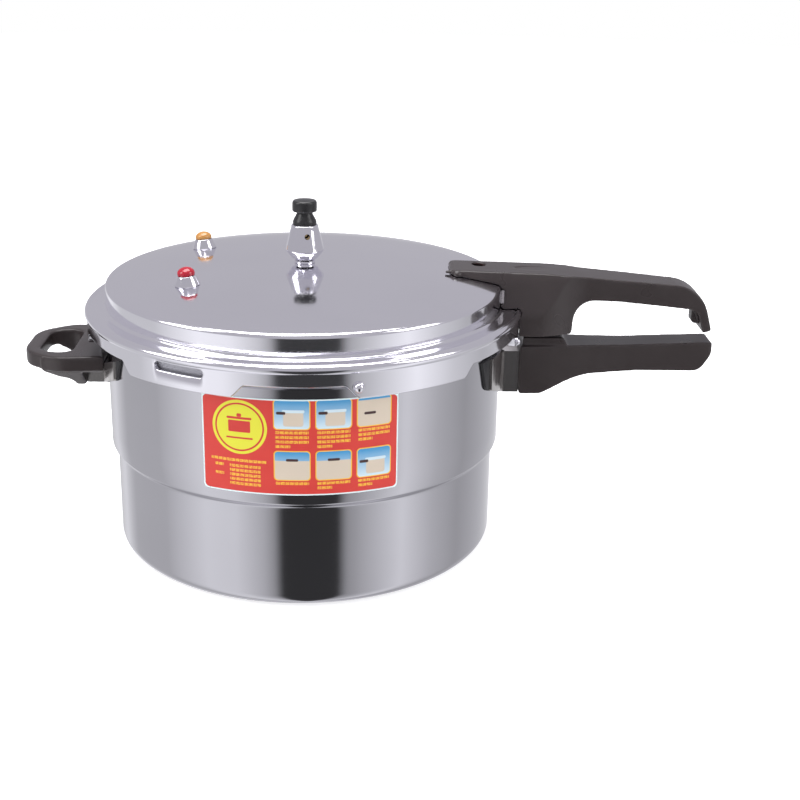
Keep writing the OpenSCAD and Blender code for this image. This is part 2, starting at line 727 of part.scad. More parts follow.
module upper_handle() {
    w = root_half_w;
    hook_x = upper_tip_x - 14;
    plan = rounded([[103, -14, 5], [140, -w, 30], [174, -w, 40], [196, -15, 50], [230, -14.6, 40],
        [262, -12.8, 40], [300, -12.3, 0], [300, 12.3, 0], [262, 12.8, 40], [230, 14.6, 40],
        [196, 15, 50], [174, w, 40], [140, w, 30], [103, 14, 5]]);
    // Section: the sides lean in towards the top
    section = rounded([[-w, 150, 0], [w, 150, 0], [w, 174, 40], [19.5, 197, 30], [14.6, 206, 0],
        [-14.6, 206, 0], [-19.5, 197, 30], [-w, 174, 40]]);
    color("#2b2626") difference() {
        union() {
            // Nub and boss on the front corner of the nose
            translate([100.8, -13, 202.5]) rotate([0, 90, 0]) cylinder(h = 6, r = 1.2);
            translate([109, -15, 200.4]) sphere(r = 3.5);
            // Lug inside the hook
            side_extrude(10)
                polygon([[hook_x, 178], [hook_x, 165.5], [hook_x + 2, 163.5], [hook_x + 6, 163.5],
                    [hook_x + 6, 178]]);
            intersection() {
                side_extrude(80) upper_handle_outline();
                translate([0, 0, 150]) linear_extrude(60) polygon(plan);
                translate([90, 0, 0]) rotate([90, 0, 90]) linear_extrude(220) polygon(section);
            }
        }
        // Room for the lid
        rotate_extrude()
            polygon(concat(lid_outer(0.3), [[skirt_r + 0.3, 150], [0, 150]]));
        // Room for the bracket, its rivets and the screw
        sector(tab_r - 1, tab_r + tab_t + 0.3, arm[2] - 0.3, 191.4, -tab_deg - 2, 2 * tab_deg + 4);
        for (a = lid_rivet_deg) radial(tab_r, tab_r + tab_t + 2.4, 4, a, lid_rivet_z);
        translate([tab_r, -arm[1] - fit, arm[2] - fit])
            cube([arm[0] - tab_r + 0.4, 2 * (arm[1] + fit), arm[3] - arm[2] + 2 * fit]);
        translate([handle_screw_x, 0, block_z - 1]) cylinder(h = 13.4, r = 4.6);
        translate([handle_screw_x, 0, 160]) cylinder(h = 28, r = 2.55);
        // Window over the float pin
        on_dome(float_r, float_deg) translate([0, 0, -2]) cylinder(h = 6.2, r = 8.2);
        rotate([0, 0, float_deg]) translate([float_r + 1, 0, 190]) cylinder(h = 20, r = 5);
        // Blank oval recess on top
        translate([165, 0, 202.2]) scale([1, 0.4, 1]) cylinder(h = 4, r = 14);
    }
}

pot_body();
label();
lower_handle();
lower_handle_bracket();
lower_handle_pad();
lower_handle_rivets();
lower_handle_screw();
helper_handle();
helper_handle_bracket();
helper_handle_pad();
helper_handle_rivets();
helper_handle_screw();
steam_rack();
lid_shell();
lid_gasket();
upper_handle();
lid_bracket();
lid_bracket_rivets();
upper_handle_screw();
lid_stop_rivets();
vent_pipe();
vent_washer();
vent_nut();
vent_filter_cap();
weight_needle();
pressure_weight();
weight_knob();
knob_stud();
float_grommet();
float_pin();
red_valve_housing();
red_valve_nut();
red_valve_seal();
red_valve_spring();
red_relief_plug();
orange_valve_housing();
orange_valve_nut();
orange_valve_seal();
orange_valve_spring();
orange_relief_plug();
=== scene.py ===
"""Looks of the pressure canner: spun and polished aluminium, moulded bakelite handles,
a generic printed label, and a white studio. Lengths in mm are scaled by MM; objects are in metres."""

import json
import math

import bmesh
import bpy
from mathutils import Matrix, Vector


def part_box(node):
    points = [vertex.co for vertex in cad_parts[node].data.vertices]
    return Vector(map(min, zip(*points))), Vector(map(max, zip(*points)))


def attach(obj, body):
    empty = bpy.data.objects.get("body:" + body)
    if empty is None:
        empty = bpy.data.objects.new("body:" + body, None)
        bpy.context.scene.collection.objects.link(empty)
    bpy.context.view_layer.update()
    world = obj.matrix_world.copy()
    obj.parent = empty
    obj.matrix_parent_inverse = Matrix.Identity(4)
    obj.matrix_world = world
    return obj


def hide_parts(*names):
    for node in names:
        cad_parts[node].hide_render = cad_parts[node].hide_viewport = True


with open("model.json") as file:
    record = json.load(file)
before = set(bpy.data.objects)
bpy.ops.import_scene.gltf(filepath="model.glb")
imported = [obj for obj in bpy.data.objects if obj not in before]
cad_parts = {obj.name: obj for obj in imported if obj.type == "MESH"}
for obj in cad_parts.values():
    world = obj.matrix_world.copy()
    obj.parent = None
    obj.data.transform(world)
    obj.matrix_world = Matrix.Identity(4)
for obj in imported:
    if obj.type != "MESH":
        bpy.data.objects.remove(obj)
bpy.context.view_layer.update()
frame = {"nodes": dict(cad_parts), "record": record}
nodes = frame["nodes"]
MM = 0.001
SHARP_DEG = 35
WELD_GAP = 0.00001   # metres


def node_box(name):
    """Lowest and highest corner of a CAD node, in mm."""
    low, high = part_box(name)
    return low / MM, high / MM


# ---- Driving dimensions, from the frame ----

pot_high = node_box("pot_body")[1]
lid_low, lid_high = node_box("lid_shell")
label_low, label_high = node_box("label")
weight_low, weight_high = node_box("pressure_weight")

MOUTH_Z = pot_high.z
BEAD_R = lid_high.x
SKIRT_Z = lid_low.z
APEX_Z = lid_high.z

# Pot, as in the CAD
WALL = 2.5
POT_R = 142.5
POT_LOW_R = 138.6
BASE_CORNER = 9.0
BASE_T = 4.0
STEP_Z, STEP_H = 73.5, 5.3
RIM_R, RIM_T = POT_R + 3, 3.6
LUG_R = POT_R + 9
LUG_COUNT = 6
LUG_STEP = 360 / LUG_COUNT
POT_LUG_HALF = 13.0

# Lid, as in the CAD
RAISE_R, RAISE_Z = 142.0, APEX_Z - 11
DOME_H = APEX_Z - RAISE_Z
RAISE_CORNER, RAISE_FILLET = 3.2, 2.5
FLANGE_Z = 178.0
BEAD_CORNER, BEAD_Z = 3.3, 175.1
SKIRT_R = BEAD_R - 1.3
SHEET = 2.6
SKIRT_IN_R = SKIRT_R - SHEET
LID_LUG_R, LID_LUG_T = 147.0, 3.2
NOTCH_TOP = SKIRT_Z + 8.4
NOTCH_HALF_LOW, NOTCH_HALF_TOP = 15.1, 11.8
SLOT_DEG, SLOT_Z = -119.0, 168.5
SLOT_HALF_L, SLOT_HALF_H = 19.0, 3.0


# ---- Mesh helpers ----


def smooth_step(t):
    t = min(1.0, max(0.0, t))
    return t * t * (3 - 2 * t)


def arc(cx, cz, r, start, end, count):
    """Points of an arc about (cx, cz), with angles in degrees."""
    angles = [math.radians(start + (end - start) * i / count) for i in range(count + 1)]
    return [(cx + r * math.cos(a), cz + r * math.sin(a)) for a in angles]


def line(a, b, count):
    """Points on the way from a to b, without a itself."""
    return [
        (a[0] + (b[0] - a[0]) * i / count, a[1] + (b[1] - a[1]) * i / count)
        for i in range(1, count + 1)
    ]


def new_object(name, bm, material):
    """An object in metres from a bmesh in mm, with smooth faces and sharp edges past SHARP_DEG."""
    mesh = bpy.data.meshes.new(name)
    bm.to_mesh(mesh)
    bm.free()
    mesh.transform(Matrix.Scale(MM, 4))
    mesh.shade_smooth()
    mesh.set_sharp_from_angle(angle=math.radians(SHARP_DEG))
    mesh.materials.append(material)
    piece = bpy.data.objects.new(name, mesh)
    bpy.context.scene.collection.objects.link(piece)
    return piece


def lathe(columns, profile, closed=True, skip=None):
    """Faces between neighbouring columns. profile(deg) gives the (radius, height) rows of a column,
    and skip(deg, row) leaves a face out. An open sweep gets a cap at each end."""
    bm = bmesh.new()
    grid = []
    for deg in columns:
        c, s = math.cos(math.radians(deg)), math.sin(math.radians(deg))
        grid.append([bm.verts.new((r * c, r * s, z)) for r, z in profile(deg)])
    rows = len(grid[0])
    for i in range(len(grid) if closed else len(grid) - 1):
        j = (i + 1) % len(grid)
        middle = (columns[i] + columns[i + 1]) / 2 if i + 1 < len(columns) else columns[i]
        for k in range(rows):
            n = (k + 1) % rows
            if skip is None or not skip(middle, k):
                bm.faces.new((grid[i][k], grid[j][k], grid[j][n], grid[i][n]))
    if not closed:
        bm.faces.new(grid[0])
        bm.faces.new(reversed(grid[-1]))
    bmesh.ops.remove_doubles(bm, verts=bm.verts, dist=0.002)
    bmesh.ops.dissolve_degenerate(bm, edges=bm.edges, dist=0.0005)
    bmesh.ops.recalc_face_normals(bm, faces=bm.faces)
    return bm


def turn(deg, centre):
    """Signed angle from centre to deg, within half a turn."""
    return (deg - centre + 180) % 360 - 180


def apply_modifiers(piece):
    depsgraph = bpy.context.evaluated_depsgraph_get()
    mesh = bpy.data.meshes.new_from_object(piece.evaluated_get(depsgraph))
    piece.modifiers.clear()
    piece.data = mesh


def add_weld(piece):
    piece.modifiers.new("weld", "WELD").merge_threshold = WELD_GAP


def cut_with(piece, cutters):
    """Cuts every cutter out of a piece, and removes the cutters."""
    for cutter in cutters:
        modifier = piece.modifiers.new("cut", "BOOLEAN")
        modifier.operation = "DIFFERENCE"
        modifier.solver = "EXACT"
        modifier.object = cutter
    apply_modifiers(piece)
    for cutter in cutters:
        bpy.data.objects.remove(cutter)


# ---- Material helpers ----


class Shader:
    """A material with a Principled shader, and short ways to add nodes to it."""

    def __init__(self, name, **constants):
        self.material = bpy.data.materials.new(name)
        self.material.use_nodes = True
        self.tree = self.material.node_tree
        self.bsdf = self.tree.nodes["Principled BSDF"]
        for key, value in constants.items():
            self.bsdf.inputs[key.replace("_", " ")].default_value = value

    def node(self, kind, links=None, **settings):
        made = self.tree.nodes.new(kind)
        for key, value in settings.items():
            setattr(made, key, value)
        for key, value in (links or {}).items():
            self.put(made.inputs[key], value)
        return made

    def put(self, socket, value):
        if isinstance(value, bpy.types.NodeSocket):
            self.tree.links.new(value, socket)
        else:
            socket.default_value = value

    def math(self, operation, a, b=0.0):
        return self.node("ShaderNodeMath", {0: a, 1: b}, operation=operation).outputs[0]

    def length(self, a, b):
        squares = self.math("MULTIPLY", a, a), self.math("MULTIPLY", b, b)
        return self.math("SQRT", self.math("ADD", *squares))

    def object_xyz(self):
        place = self.node("ShaderNodeTexCoord").outputs["Object"]
        split = self.node("ShaderNodeSeparateXYZ", {0: place})
        return place, split.outputs[0], split.outputs[1], split.outputs[2]

    def noise(self, vector, scale, detail=3.0, roughness=0.5):
        links = {"Vector": vector, "Scale": scale, "Detail": detail, "Roughness": roughness}
        return self.node("ShaderNodeTexNoise", links).outputs["Fac"]

    def span(self, value, low, high, to_low, to_high):
        """Maps value from low..high to to_low..to_high, held at the ends."""
        links = {0: value, 1: low, 2: high, 3: to_low, 4: to_high}
        return self.node("ShaderNodeMapRange", links).outputs[0]

    def mix(self, factor, a, b):
        made = self.node("ShaderNodeMix", data_type="RGBA")
        for socket, value in ((made.inputs[0], factor), (made.inputs[6], a), (made.inputs[7], b)):
            self.put(socket, value)
        return made.outputs[2]

    def bump(self, height, strength, distance):
        links = {"Height": height, "Strength": strength, "Distance": distance}
        made = self.node("ShaderNodeBump", links)
        self.tree.links.new(made.outputs[0], self.bsdf.inputs["Normal"])

    def set(self, key, socket):
        self.tree.links.new(socket, self.bsdf.inputs[key])


def grey(value, tint=(1.0, 1.0, 1.0)):
    return (value * tint[0], value * tint[1], value * tint[2], 1.0)


LAVENDER = (0.985, 0.975, 1.03)


def spun_metal(name, value, roughness, lines, blotch=0.03, tint=LAVENDER):
    """Metal turned about Z: fine rings from polishing, and a faint uneven sheen."""
    s = Shader(name, Metallic=1.0)
    place, x, y, z = s.object_xyz()
    radius = s.length(x, y)
    ring = s.math("ADD", s.math("MULTIPLY", radius, 1.7), z)
    # Unit direction from the axis, scaled down so that the noise hardly changes along a ring
    along = 0.004
    links = {
        0: s.math("MULTIPLY", s.math("DIVIDE", x, radius), along),
        1: s.math("MULTIPLY", s.math("DIVIDE", y, radius), along),
        2: ring,
    }
    turned = s.node("ShaderNodeCombineXYZ", links).outputs[0]
    fine = s.noise(turned, 900.0, 2.0)
    wide = s.noise(turned, 60.0, 2.0)
    cloud = s.noise(place, 14.0, 4.0)
    spread = s.math("ADD", s.math("MULTIPLY", fine, 0.5), s.math("MULTIPLY", cloud, 0.5))
    s.set("Roughness", s.span(spread, 0.25, 0.75, roughness * 0.8, roughness * 1.25))
    patches = s.span(cloud, 0.3, 0.7, 0.0, 1.0)
    s.set("Base Color", s.mix(patches, grey(value - blotch, tint), grey(value, tint)))
    s.bump(s.math("ADD", fine, s.math("MULTIPLY", wide, 2.0)), lines, 0.0002)
    return s.material


def brushed_metal(name, value, roughness, scale=(40.0, 900.0, 900.0), tint=LAVENDER, share=1.0):
    """Metal with short straight brush marks along X. A small share makes the marks faint."""
    s = Shader(name, Metallic=1.0)
    place, _, _, _ = s.object_xyz()
    stretch = s.node("ShaderNodeVectorMath", {0: place, 1: scale}, operation="MULTIPLY")
    marks = s.noise(stretch.outputs[0], 1.0, 3.0)
    cloud = s.noise(place, 60.0, 3.0)
    low, high = roughness * (1 - 0.2 * share), roughness * (1 + 0.3 * share)
    s.set("Roughness", s.span(marks, 0.3, 0.7, low, high))
    s.set("Base Color", s.mix(cloud, grey(value * 0.94, tint), grey(value, tint)))
    s.bump(marks, 0.05 * share, 0.0002)
    return s.material


def moulded(name, colour, roughness, grain=0.06, specks=0.25, specular=0.5):
    """Moulded plastic or rubber: a faint orange-peel surface and small changes in gloss."""
    s = Shader(name)
    s.bsdf.inputs["Specular IOR Level"].default_value = specular
    place, _, _, _ = s.object_xyz()
    peel = s.noise(place, 420.0, 2.0)
    cloud = s.noise(place, 45.0, 2.0, 0.4)
    s.set("Roughness", s.span(cloud, 0.3, 0.7, roughness * 0.9, roughness * 1.1))
    darker = tuple(c * (1 - specks) for c in colour) + (1.0,)
    s.set("Base Color", s.mix(cloud, darker, tuple(colour) + (1.0,)))
    s.bump(peel, grain, 0.0004)
    return s.material


polished = spun_metal("polished_aluminium", 0.63, 0.095, 0.03)
lid_metal = spun_metal("lid_aluminium", 0.92, 0.105, 0.02)
rack_metal = spun_metal("rack_aluminium", 0.72, 0.32, 0.12)
rivet_metal = brushed_metal("aluminium_rivet", 0.78, 0.24)
BRACKET_MARKS, WARM = (40.0, 500.0, 500.0), (1.02, 0.98, 0.95)
bracket_metal = brushed_metal("bracket_steel", 0.62, 0.24, BRACKET_MARKS, WARM, 0.08)
screw_metal = brushed_metal("screw_steel", 0.6, 0.3)
spring_metal = brushed_metal("spring_steel", 0.6, 0.25)
chrome = spun_metal("chrome_plate", 0.86, 0.06, 0.01, 0.02)
brass = spun_metal("brass_metal", 0.7, 0.25, 0.05, 0.05, (1.0, 0.75, 0.38))
bakelite = moulded("black_bakelite", (0.040, 0.032, 0.032), 0.30, specular=0.42)
knob_plastic = moulded("knob_plastic", (0.02, 0.02, 0.021), 0.3)
black_rubber = moulded("black_rubber", (0.018, 0.018, 0.02), 0.55, 0.1)
# Painted shade: this grey-blue is darkened and cooled from the rubber's white, standing in for the
# shadow the gasket lies in inside the slot
white_rubber = moulded("white_rubber", (0.38, 0.38, 0.42), 0.4, 0.05, 0.06)
float_red = moulded("float_red", (0.55, 0.03, 0.04), 0.35, 0.03, 0.1)
plug_red = moulded("plug_red", (0.45, 0.009, 0.027), 0.12, 0.01, 0.15, 0.7)
plug_orange = moulded("plug_orange", (0.57, 0.27, 0.07), 0.12, 0.01, 0.15, 0.7)


def finish_piece(piece, body, replaced):
    """Puts a piece on its body and hides the CAD node that it stands for."""
    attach(piece, body)
    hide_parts(replaced)


# ---- Pot ----


RIM_EDGE = 0.7
LUG_BLEND = 0.4   # degrees on each side of a lug's end
CORNER_STEPS, WALL_STEPS = 16, 12


def pot_profile(deg):
    """Section of the pot: outer face upwards, rim, inner face down."""
    near = abs(turn(deg, round(deg / LUG_STEP) * LUG_STEP))
    out_r = RIM_R + (LUG_R - RIM_R) * smooth_step((POT_LUG_HALF + LUG_BLEND - near) / (2 * LUG_BLEND))
    rim_z = MOUTH_Z - RIM_T
    corner = arc(POT_LOW_R - BASE_CORNER, BASE_CORNER, BASE_CORNER, -90, 0, CORNER_STEPS)
    ups = [i / WALL_STEPS for i in range(WALL_STEPS + 1)]
    step = [(POT_LOW_R + (POT_R - POT_LOW_R) * smooth_step(t), STEP_Z + STEP_H * t) for t in ups]
    in_corner = BASE_CORNER - WALL
    inner = [(r - WALL, z + 0.5) for r, z in step]
    return (
        [(0.0, 0.0), (POT_LOW_R - BASE_CORNER - 4, 0.0)]
        + corner
        + line(corner[-1], (POT_LOW_R, STEP_Z - 1.5), 6)
        + step
        + line(step[-1], (POT_R, rim_z - 2.2), 6)
        + line((POT_R, rim_z - 2.2), (RIM_R - 0.6, rim_z - 0.3), 2)
        + line((RIM_R - 0.6, rim_z - 0.3), (out_r - RIM_EDGE, rim_z), 2)
        + arc(out_r - RIM_EDGE, rim_z + RIM_EDGE, RIM_EDGE, -70, 0, 3)
        + arc(out_r - RIM_EDGE, MOUTH_Z - RIM_EDGE, RIM_EDGE, 0, 90, 4)
        + arc(POT_R - WALL + RIM_EDGE, MOUTH_Z - RIM_EDGE, RIM_EDGE, 90, 180, 4)
        + inner[::-1]
        + arc(POT_LOW_R - WALL - in_corner, BASE_T + in_corner, in_corner, 0, -90, 8)
        + [(0.0, BASE_T)]
    )


pot_columns = sorted(
    {i * 1.0 for i in range(360)}
    | {
        (k * LUG_STEP + s * (POT_LUG_HALF + d)) % 360
        for k in range(LUG_COUNT)
        for s in (-1, 1)
        for d in (-LUG_BLEND, -LUG_BLEND / 2, LUG_BLEND / 2, LUG_BLEND)
    }
)
pot = new_object("pot_shell", lathe(pot_columns, pot_profile), polished)
finish_piece(pot, "pot", "pot_body")


# ---- Lid ----


def dome_z(r):
    return RAISE_Z + DOME_H * (1 - (r / RAISE_R) ** 3)


VENT_HOLE_R = 4.0
CORNER_Z = RAISE_Z - RAISE_CORNER + 0.65
DOME_END = RAISE_R - RAISE_CORNER
DOME_STEPS = 54
SKIRT_EDGE = 0.9
SLOT_EDGE = 0.7
SLOT_ROWS = {}   # first row of the slot's gap on the outer and on the inner face


def slot_half_height(deg, grow):
    """Half height of the relief slot, grown by an edge, at an angle."""
    along = abs(math.radians(turn(deg, SLOT_DEG))) * SKIRT_R
    radius = SLOT_HALF_H + grow
    past = along - (SLOT_HALF_L - SLOT_HALF_H)
    if past <= 0:
        return radius
    return math.sqrt(max(0.0, radius * radius - past * past))


def lid_profile(deg):
    """Section of the lid: outer face outwards and down, edge, inner face up and back to the vent."""
    off = abs(turn(deg, (math.floor(deg / LUG_STEP) + 0.5) * LUG_STEP))
    rise = (NOTCH_HALF_LOW - off) / (NOTCH_HALF_LOW - NOTCH_HALF_TOP)
    rise = 0.6 * min(1.0, max(0.0, rise)) + 0.4 * smooth_step(rise)
    edge_z = SKIRT_Z + (NOTCH_TOP - SKIRT_Z) * rise
    lug_r = LID_LUG_R + (SKIRT_IN_R - LID_LUG_R) * min(1.0, rise * 1.5)
    lug_t = LID_LUG_T * (1 - rise) + 0.2
    dome = [VENT_HOLE_R + (DOME_END - VENT_HOLE_R) * i / DOME_STEPS for i in range(DOME_STEPS + 1)]
    wide, open_h = slot_half_height(deg, SLOT_EDGE), slot_half_height(deg, 0)
    bead = arc(BEAD_R - BEAD_CORNER, BEAD_Z, BEAD_CORNER, 90, -52, 18)
    outer = (
        [(r, dome_z(r)) for r in dome]
        + arc(DOME_END, CORNER_Z, RAISE_CORNER, 77, 0, 12)[1:]
        + line((RAISE_R, CORNER_Z), (RAISE_R, FLANGE_Z + RAISE_FILLET + 0.3), 3)
        + arc(RAISE_R + RAISE_FILLET, FLANGE_Z + RAISE_FILLET, RAISE_FILLET, 180, 270, 9)
        + line((RAISE_R + RAISE_FILLET, FLANGE_Z), (BEAD_R - BEAD_CORNER - 1.6, FLANGE_Z), 2)
        + [(BEAD_R - BEAD_CORNER - 1.2, FLANGE_Z - 0.1), (BEAD_R - BEAD_CORNER - 0.7, FLANGE_Z - 0.3)]
        + bead[1:]
    )
    slot_rows = [
        (SKIRT_R, SLOT_Z + wide),
        (SKIRT_R - SLOT_EDGE * 0.6, SLOT_Z + open_h),
        (SKIRT_R - SLOT_EDGE * 0.6, SLOT_Z - open_h),
        (SKIRT_R, SLOT_Z - wide),
    ]
    if wide == 0:
        slot_rows = [(SKIRT_R, SLOT_Z + d) for d in (1.5, 0.5, -0.5, -1.5)]
    lower = [(SKIRT_R, edge_z + 1.1)]
    lower += arc(SKIRT_R - SKIRT_EDGE, edge_z + SKIRT_EDGE, SKIRT_EDGE, 0, -90, 4)
    lug = [(lug_r, edge_z), (lug_r, edge_z + lug_t), (SKIRT_IN_R, edge_z + lug_t)]
    inside = [(SKIRT_IN_R, SLOT_Z - open_h), (SKIRT_IN_R, SLOT_Z + open_h)]
    if wide == 0:
        inside = [(SKIRT_IN_R, SLOT_Z - 0.5), (SKIRT_IN_R, SLOT_Z + 0.5)]
    back = (
        [(SKIRT_IN_R, BEAD_Z - 0.9), (SKIRT_IN_R - 1.2, FLANGE_Z - SHEET)]
        + arc(RAISE_R + RAISE_FILLET, FLANGE_Z + RAISE_FILLET, RAISE_FILLET + SHEET, 270, 180, 8)
        + arc(DOME_END, CORNER_Z, RAISE_CORNER - SHEET, 0, 77, 3)
        + [(r, dome_z(r) - SHEET) for r in dome[::-6]]
    )
    if not SLOT_ROWS:
        SLOT_ROWS["outer"] = len(outer) + 1
        SLOT_ROWS["inner"] = len(outer) + len(slot_rows) + len(lower) + len(lug)
    return outer + slot_rows + lower + lug + inside + back


def in_slot(deg, row):
    """Faces between the upper and lower edge of the slot are left out."""
    return slot_half_height(deg, 0) > 0 and row in (SLOT_ROWS["outer"], SLOT_ROWS["inner"])


def bridge_slot(bm):
    """Closes the thickness of the sheet round the slot."""
    bmesh.ops.remove_doubles(bm, verts=bm.verts, dist=0.002)
    bmesh.ops.bridge_loops(bm, edges=[e for e in bm.edges if e.is_boundary])
    bmesh.ops.recalc_face_normals(bm, faces=bm.faces)


notch_angles = {
    ((k + 0.5) * LUG_STEP + s * (NOTCH_HALF_TOP + (NOTCH_HALF_LOW - NOTCH_HALF_TOP) * i / 6)) % 360
    for k in range(LUG_COUNT)
    for s in (-1, 1)
    for i in range(7)
}
# Distances from the slot's middle at which its outline bends, closer together at its ends
slot_reach = [
    SLOT_HALF_L - SLOT_HALF_H + SLOT_HALF_H * math.sin(math.radians(a))
    for a in (0, 15, 30, 45, 60, 72, 82, 90)
]
slot_reach.append(SLOT_HALF_L + SLOT_EDGE)
slot_angles = {(SLOT_DEG + s * math.degrees(r / SKIRT_R)) % 360 for s in (-1, 1) for r in slot_reach}
COLUMN_STEP, COLUMN_GAP = 0.75, 0.2   # degrees
even = {i * COLUMN_STEP for i in range(480)}
special = notch_angles | slot_angles
lid_columns = sorted(
    special | {a for a in even if min(abs(turn(a, b)) for b in special) > COLUMN_GAP}
)
lid_bm = lathe(lid_columns, lid_profile, skip=in_slot)
bridge_slot(lid_bm)
lid = new_object("lid_cover", lid_bm, lid_metal)


def tilt_matrix(radius, deg):
    """Frame square to the dome at a radius and direction, in mm."""
    slope = math.atan(3 * DOME_H * radius**2 / RAISE_R**3)
    return (
        Matrix.Rotation(math.radians(deg), 4, "Z")
        @ Matrix.Translation((radius, 0, dome_z(radius)))
        @ Matrix.Rotation(slope, 4, "Y")
    )


def drill(name, matrix, radius, depth):
    """A cylinder to cut a round hole with."""
    bm = bmesh.new()
    bmesh.ops.create_cone(
        bm, cap_ends=True, segments=48, radius1=radius, radius2=radius, depth=depth, matrix=matrix
    )
    return new_object(name, bm, lid_metal)


VALVE_R = 94.0
VALVE_DEG = {"red": -146.0, "orange": 146.0}
FLOAT_R, FLOAT_DEG = 125.0, 2.75
VALVE_HOLE_R, FLOAT_HOLE_R, HOLE_DEPTH = 6.1, 5.1, 20
drills = [
    drill(f"drill_{n}", tilt_matrix(VALVE_R, d), VALVE_HOLE_R, HOLE_DEPTH)
    for n, d in VALVE_DEG.items()
]
drills.append(drill("drill_float", tilt_matrix(FLOAT_R, FLOAT_DEG), FLOAT_HOLE_R, HOLE_DEPTH))
cut_with(lid, drills)
lid.data.set_sharp_from_angle(angle=math.radians(SHARP_DEG))
finish_piece(lid, "lid", "lid_shell")


# ---- Weight, knob and valve nuts, turned finely for their sharp reflections ----


def turned_piece(name, profile, material, matrix=None, segments=128):
    columns = [360 * i / segments for i in range(segments)]
    bm = lathe(columns, lambda deg: profile)
    if matrix is not None:
        bm.transform(matrix)
    return new_object(name, bm, material)


WEIGHT_Z, WEIGHT_TOP = weight_low.z, weight_high.z
WEIGHT_R, WEIGHT_TOP_R = weight_high.x, 9.0
CAVITY_R, CAVITY_TOP, STEM_R = 6.4, 227.5, 3.05
weight_profile = (
    [(CAVITY_R, WEIGHT_Z + 0.4), (CAVITY_R + 0.4, WEIGHT_Z)]
    + arc(8.6, WEIGHT_Z + 1.2, 1.2, -90, -40, 5)
    + line((9.52, WEIGHT_Z + 0.43), (WEIGHT_R - 0.9, 213.2), 3)
    + arc(WEIGHT_R - 1.9, 215.2, 1.9, -35, 20, 8)
    + line((WEIGHT_R - 0.1, 215.9), (WEIGHT_TOP_R + 0.7, WEIGHT_TOP - 1.2), 8)
    + arc(WEIGHT_TOP_R - 0.4, WEIGHT_TOP - 1.1, 1.1, 10, 90, 6)
    + [(2.5, WEIGHT_TOP), (2.5, 230.0), (STEM_R, 230.0), (STEM_R, CAVITY_TOP), (CAVITY_R, CAVITY_TOP)]
)
weight = turned_piece("weight_cone", weight_profile, chrome)
HOLE_DEG, HOLE_Z, HOLE_R = -78.0, 226.0, 1.95
hole_turn = Matrix.Rotation(math.radians(HOLE_DEG), 4, "Z")
across = Matrix.Translation((0, 0, HOLE_Z)) @ hole_turn @ Matrix.Rotation(math.pi / 2, 4, "Y")
side_holes = [
    drill(f"drill_side_{i}", across @ Matrix.Translation((0, 0, s * 10.5)), HOLE_R, 11)
    for i, s in enumerate((-1, 1))
]
cut_with(weight, side_holes)
weight.data.set_sharp_from_angle(angle=math.radians(SHARP_DEG))
finish_piece(weight, "weight", "pressure_weight")

KNOB_Z = WEIGHT_TOP + 0.1
KNOB_R, _, KNOB_TOP = node_box("weight_knob")[1]
KNOB_FOOT_R, KNOB_WAIST, KNOB_DISC_Z = 8.5, 3.05, 243.5
knob_neck = [i / 12 for i in range(13)]
knob_crown = [i / 8 for i in range(9)]
knob_profile = (
    [(0.0, KNOB_Z), (8.2, KNOB_Z)]
    + arc(8.0, KNOB_Z + 0.5, 0.5, -45, 30, 4)
    + [(KNOB_FOOT_R - KNOB_WAIST * smooth_step(t), KNOB_Z + 1.2 + 7.9 * t) for t in knob_neck]
    + arc(KNOB_R - 1.2, KNOB_DISC_Z, 1.2, -60, 0, 5)
    + arc(KNOB_R - 2.2, KNOB_TOP - 2.6, 2.2, 0, 60, 5)
    + [(KNOB_R * (1 - t) * 0.86, KNOB_TOP - 0.7 * (1 - math.sin(t * math.pi / 2))) for t in knob_crown]
)
knob = turned_piece("knob_top", knob_profile, knob_plastic, segments=96)
finish_piece(knob, "weight", "weight_knob")

NUT_R, NUT_TOP_R, NUT_H = 8.85, 6.1, 7.0
NUT_BORE, NUT_BORE_TOP, NUT_HOLE = 6.0, 5.4, 2.6
nut_profile = (
    [(NUT_BORE, 0.05), (NUT_R - 0.3, 0.05)]
    + arc(NUT_R - 0.5, 0.55, 0.5, -60, 25, 4)
    + line((NUT_R - 0.05, 0.9), (NUT_TOP_R + 0.35, NUT_H - 0.5), 6)
    + arc(NUT_TOP_R - 0.3, NUT_H - 0.55, 0.6, 20, 90, 5)
    + [(NUT_HOLE + 0.1, NUT_H + 0.05), (NUT_HOLE, NUT_H - 0.1)]
    + [(NUT_HOLE, NUT_BORE_TOP), (NUT_BORE, NUT_BORE_TOP)]
)
PLUG_Z = NUT_H + 0.35
PLUG_R, PLUG_STEM_R, PLUG_FOOT_R, PLUG_EDGE, PLUG_DOME_H = 6.0, 2.5, 4.3, 0.3, 4.1
dome_angles = [math.radians(a) for a in range(6, 91, 7)]
plug_profile = (
    [(0.0, -0.7), (PLUG_FOOT_R, -0.7), (PLUG_FOOT_R, 0.9), (PLUG_STEM_R, 0.9)]
    + [(PLUG_STEM_R, PLUG_Z), (PLUG_R - PLUG_EDGE, PLUG_Z)]
    + arc(PLUG_R - PLUG_EDGE, PLUG_Z + PLUG_EDGE, PLUG_EDGE, -90, 0, 3)
    + [(PLUG_R, PLUG_Z + 1.0)]
    + [(PLUG_R * math.cos(a), PLUG_Z + 1.05 + PLUG_DOME_H * math.sin(a)) for a in dome_angles]
)
for name, material in (("red", plug_red), ("orange", plug_orange)):
    place = tilt_matrix(VALVE_R, VALVE_DEG[name])
    nut = turned_piece(f"{name}_nut_cone", nut_profile, chrome, place, 96)
    finish_piece(nut, "lid", f"{name}_valve_nut")
    plug = turned_piece(f"{name}_plug_dome", plug_profile, material, place, 96)
    finish_piece(plug, f"{name}_plug", f"{name}_relief_plug")


# ---- Moulded handles: the CAD shapes with softened edges ----


GRIP_VOXEL = 0.7


